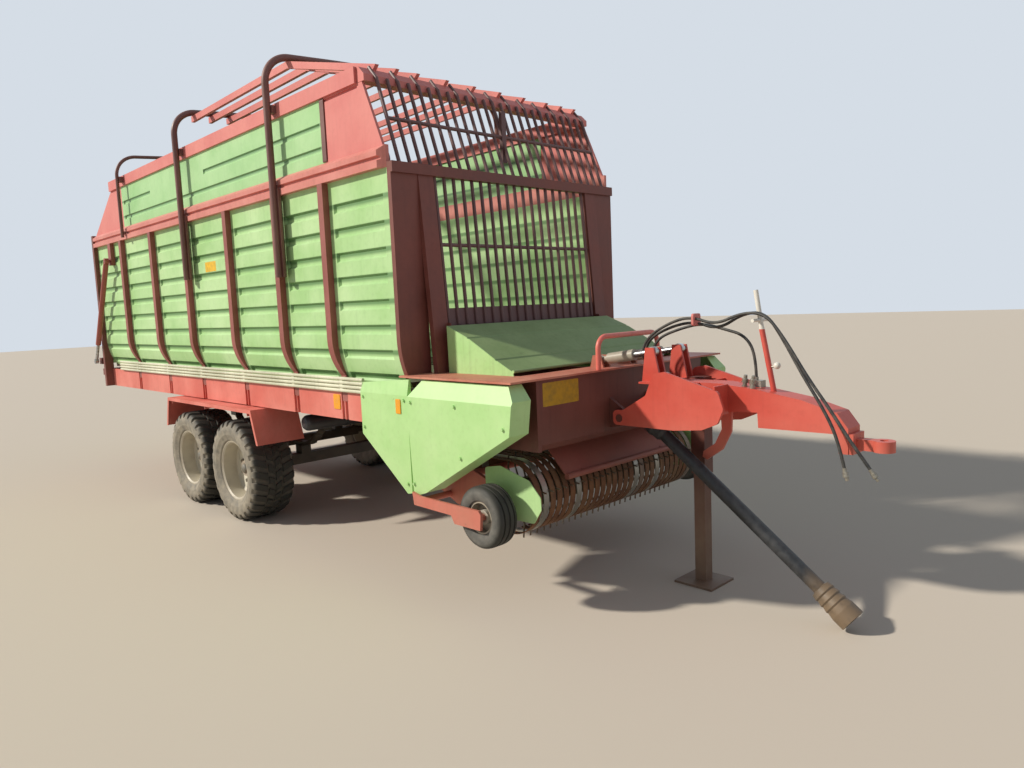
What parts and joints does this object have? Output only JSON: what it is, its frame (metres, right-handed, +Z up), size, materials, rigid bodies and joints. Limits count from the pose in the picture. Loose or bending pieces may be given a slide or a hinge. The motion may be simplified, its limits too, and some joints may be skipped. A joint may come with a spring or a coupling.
{
  "type": "forage wagon",
  "caption": "Tandem-axle forage wagon with a front pickup, loading rotor, high ribbed sides, slatted front grilles, hay bows and a hinged drawbar on a jack",
  "frame": {"origin": "ground point under the middle of the wagon's bounding box", "axes": "+X forward along the drawbar, +Y left, +Z up"},
  "size_m": [9.2908, 2.532, 3.9825],
  "materials": {
    "green_paint": "faded light green enamel",
    "red_paint": "sun-faded red enamel",
    "dark_red_paint": "dark weathered red enamel",
    "galvanised_steel": "dull galvanised pipe",
    "rusty_steel": "bare steel polished by crop and rusted",
    "black_paint": "black paint, dusty",
    "tyre_rubber": "dusty black rubber",
    "silver_rim": "silver-white wheel paint",
    "worn_floor": "worn floor",
    "chrome_rod": "polished piston rod",
    "hose_rubber": "black hydraulic hose, dusty",
    "grey_paint": "grey painted cylinder"
  },
  "bodies": {
    "wagon": {"chassis_frame": "red_paint", "bay_frame": "dark_red_paint", "floor": "worn_floor", "scraper_floor": "rusty_steel", "side_walls": "green_paint", "side_frames": "dark_red_paint", "upper_panels": "green_paint", "upper_frames": "red_paint", "roof_beam": "red_paint", "roof_bows": "dark_red_paint", "roof_bars": "red_paint", "front_frame": "dark_red_paint", "front_grille_lower": "dark_red_paint", "front_grille_upper": "dark_red_paint", "front_hood": "green_paint", "drive_covers": "green_paint", "hydraulic_pipes": "galvanised_steel", "axles": "red_paint", "springs": "black_paint", "fenders": "red_paint", "air_tank": "black_paint", "rear_frame": "red_paint", "handrail": "red_paint"},
    "wheel_front_right": {"tyre_front_right": "tyre_rubber", "rim_front_right": "silver_rim"},
    "wheel_front_left": {"tyre_front_left": "tyre_rubber", "rim_front_left": "silver_rim"},
    "wheel_rear_right": {"tyre_rear_right": "tyre_rubber", "rim_rear_right": "silver_rim"},
    "wheel_rear_left": {"tyre_rear_left": "tyre_rubber", "rim_rear_left": "silver_rim"},
    "gate": {"tailgate": "green_paint", "tailgate_frame": "red_paint"},
    "gate_barrels": {"tailgate_lift_barrels": "red_paint"},
    "gate_rods": {"tailgate_lift_rods": "chrome_rod"},
    "hitch": {"drawbar": "red_paint", "jack_sleeve": "red_paint", "hose_holder": "red_paint", "hose_fittings": "galvanised_steel", "hose_long": "hose_rubber", "hose_middle": "hose_rubber", "hose_lower": "hose_rubber", "hose_couplers": "galvanised_steel"},
    "jack": {"jack_leg": "dark_red_paint"},
    "ram_barrels": {"drawbar_cylinder_barrels": "grey_paint"},
    "ram_rods": {"drawbar_cylinder_rods": "chrome_rod"},
    "power_shaft": {"pto_shaft": "black_paint"},
    "rotor": {"loading_rotor": "rusty_steel"},
    "pickup": {"pickup_frame": "red_paint", "stripper_bands": "rusty_steel", "pickup_shields": "green_paint", "wind_guard": "red_paint"},
    "reel": {"pickup_reel": "rusty_steel"},
    "gauge_wheel_right": {"gauge_tyre_right": "tyre_rubber", "gauge_rim_right": "silver_rim"},
    "gauge_wheel_left": {"gauge_tyre_left": "tyre_rubber", "gauge_rim_left": "silver_rim"}
  },
  "joints": [
    {"name": "wheel_front_right_spin", "type": "hinge", "parent": "wagon", "child": "wheel_front_right", "pos_m": [-0.7185, -1.04, 0.4725], "axis": [0, 1, 0], "continuous": true},
    {"name": "wheel_front_left_spin", "type": "hinge", "parent": "wagon", "child": "wheel_front_left", "pos_m": [-0.7185, 1.04, 0.4725], "axis": [0, 1, 0], "continuous": true},
    {"name": "wheel_rear_right_spin", "type": "hinge", "parent": "wagon", "child": "wheel_rear_right", "pos_m": [-1.7625, -1.04, 0.4725], "axis": [0, 1, 0], "continuous": true},
    {"name": "wheel_rear_left_spin", "type": "hinge", "parent": "wagon", "child": "wheel_rear_left", "pos_m": [-1.7625, 1.04, 0.4725], "axis": [0, 1, 0], "continuous": true},
    {"name": "tailgate_open", "type": "hinge", "parent": "wagon", "child": "gate", "pos_m": [-4.5255, 0, 2.935], "axis": [0, 1, 0], "range_deg": [0, 80]},
    {"name": "gate_barrels_swing", "type": "hinge", "parent": "wagon", "child": "gate_barrels", "pos_m": [-3.8155, 0, 2.62], "axis": [0, 1, 0], "range_deg": [0, 60.34]},
    {"name": "gate_rods_slide", "type": "slide", "parent": "gate_barrels", "child": "gate_rods", "axis": [-0.5435, 0, -0.8394], "range_m": [0, 0.78585]},
    {"name": "drawbar_tilt", "type": "hinge", "parent": "wagon", "child": "hitch", "pos_m": [3.0345, 0, 1.13], "axis": [0, 1, 0], "range_deg": [-3, 12]},
    {"name": "ram_barrels_swing", "type": "hinge", "parent": "wagon", "child": "ram_barrels", "pos_m": [2.8145, 0, 1.5], "axis": [0, 1, 0], "range_deg": [-1.79, 7.17]},
    {"name": "ram_rods_slide", "type": "slide", "parent": "ram_barrels", "child": "ram_rods", "axis": [0.9904, 0, 0.1382], "range_m": [-0.02017, 0.08069]},
    {"name": "jack_slide", "type": "slide", "parent": "hitch", "child": "jack", "axis": [0, 0, 1], "range_m": [0, 0.36]},
    {"name": "power_shaft_lift", "type": "hinge", "parent": "wagon", "child": "power_shaft", "pos_m": [3.0345, 0, 1.14], "axis": [0, 1, 0], "range_deg": [-27, 0]},
    {"name": "rotor_spin", "type": "hinge", "parent": "wagon", "child": "rotor", "pos_m": [1.9845, 0, 0.96], "axis": [0, 1, 0], "continuous": true},
    {"name": "pickup_lift", "type": "hinge", "parent": "wagon", "child": "pickup", "pos_m": [1.8845, 0, 0.76], "axis": [0, 1, 0], "range_deg": [0, 30]},
    {"name": "reel_spin", "type": "hinge", "parent": "pickup", "child": "reel", "pos_m": [2.6295, 0, 0.672], "axis": [0, 1, 0], "continuous": true},
    {"name": "gauge_wheel_right_spin", "type": "hinge", "parent": "pickup", "child": "gauge_wheel_right", "pos_m": [2.6645, -1.1, 0.61], "axis": [0, 1, 0], "continuous": true},
    {"name": "gauge_wheel_left_spin", "type": "hinge", "parent": "pickup", "child": "gauge_wheel_left", "pos_m": [2.6645, 1.1, 0.61], "axis": [0, 1, 0], "continuous": true}
  ],
  "couplings": [
    {"joint": "gate_barrels_swing", "follows": "tailgate_open", "ratio": 0.75416},
    {"joint": "gate_rods_slide", "follows": "tailgate_open", "m_per_rad": 0.56275},
    {"joint": "ram_barrels_swing", "follows": "drawbar_tilt", "ratio": 0.59758},
    {"joint": "ram_rods_slide", "follows": "drawbar_tilt", "m_per_rad": 0.38528}
  ]
}
